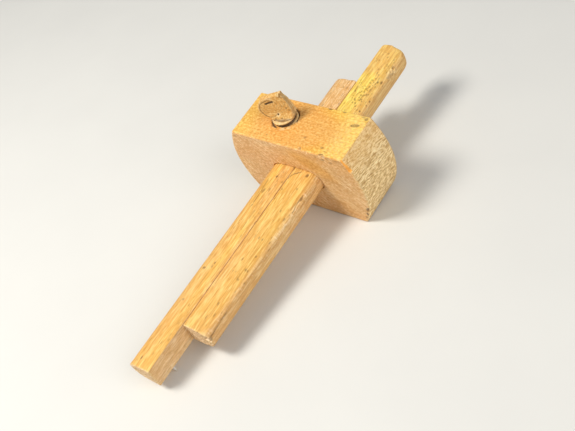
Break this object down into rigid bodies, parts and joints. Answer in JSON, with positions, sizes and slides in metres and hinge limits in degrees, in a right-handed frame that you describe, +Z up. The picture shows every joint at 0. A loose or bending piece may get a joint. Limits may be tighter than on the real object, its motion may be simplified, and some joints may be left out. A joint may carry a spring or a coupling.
{
  "type": "mortise gauge",
  "caption": "Wooden mortise gauge: a bowed fence block with paired sliding stems, a steel scribing pin under each, locked by a wooden thumb screw.",
  "frame": {"origin": "middle of the bounding box, on the surface the gauge lies on", "axes": "+Z up; +X along the stems towards their pins, seen from above; +Y across the head. The gauge lies nose down by 6.2 degrees, on the head's lower front edge and the left stem's pin"},
  "size_m": [0.2366, 0.0888, 0.0744],
  "materials": {
    "head_wood": "bare beech, worn smooth, rough end grain on the bowed ends",
    "stem_wood": "bare beech, straight long grain, worn smooth",
    "screw_wood": "darkened hardwood, handled",
    "pin_steel": "dull, sharpened tip",
    "pad_leather": "pressed hard"
  },
  "bodies": {
    "head": {"gauge_head": "head_wood"},
    "left_stem": {"left_stem": "stem_wood", "left_pin": "pin_steel"},
    "right_stem": {"right_stem": "stem_wood", "right_pin": "pin_steel"},
    "pad": {"pressure_pad": "pad_leather"},
    "screw": {"thumb_screw": "screw_wood"}
  },
  "joints": [
    {"name": "left_stem_slide", "type": "slide", "parent": "head", "child": "left_stem", "axis": [0.9941, 0, -0.1081], "range_m": [-0.1222, 0.037]},
    {"name": "right_stem_slide", "type": "slide", "parent": "head", "child": "right_stem", "axis": [0.9941, 0, -0.1081], "range_m": [-0.0932, 0.0687]},
    {"name": "screw_rise", "type": "slide", "parent": "head", "child": "pad", "axis": [0.1081, 0, 0.9941], "range_m": [0, 0.008]},
    {"name": "screw_turn", "type": "hinge", "parent": "pad", "child": "screw", "pos_m": [-0.03277, -0.0104, 0.05405], "axis": [0.1081, 0, 0.9941], "range_deg": [0, 720]}
  ],
  "couplings": [
    {"joint": "screw_turn", "follows": "screw_rise", "rad_per_m": 1570.8}
  ]
}
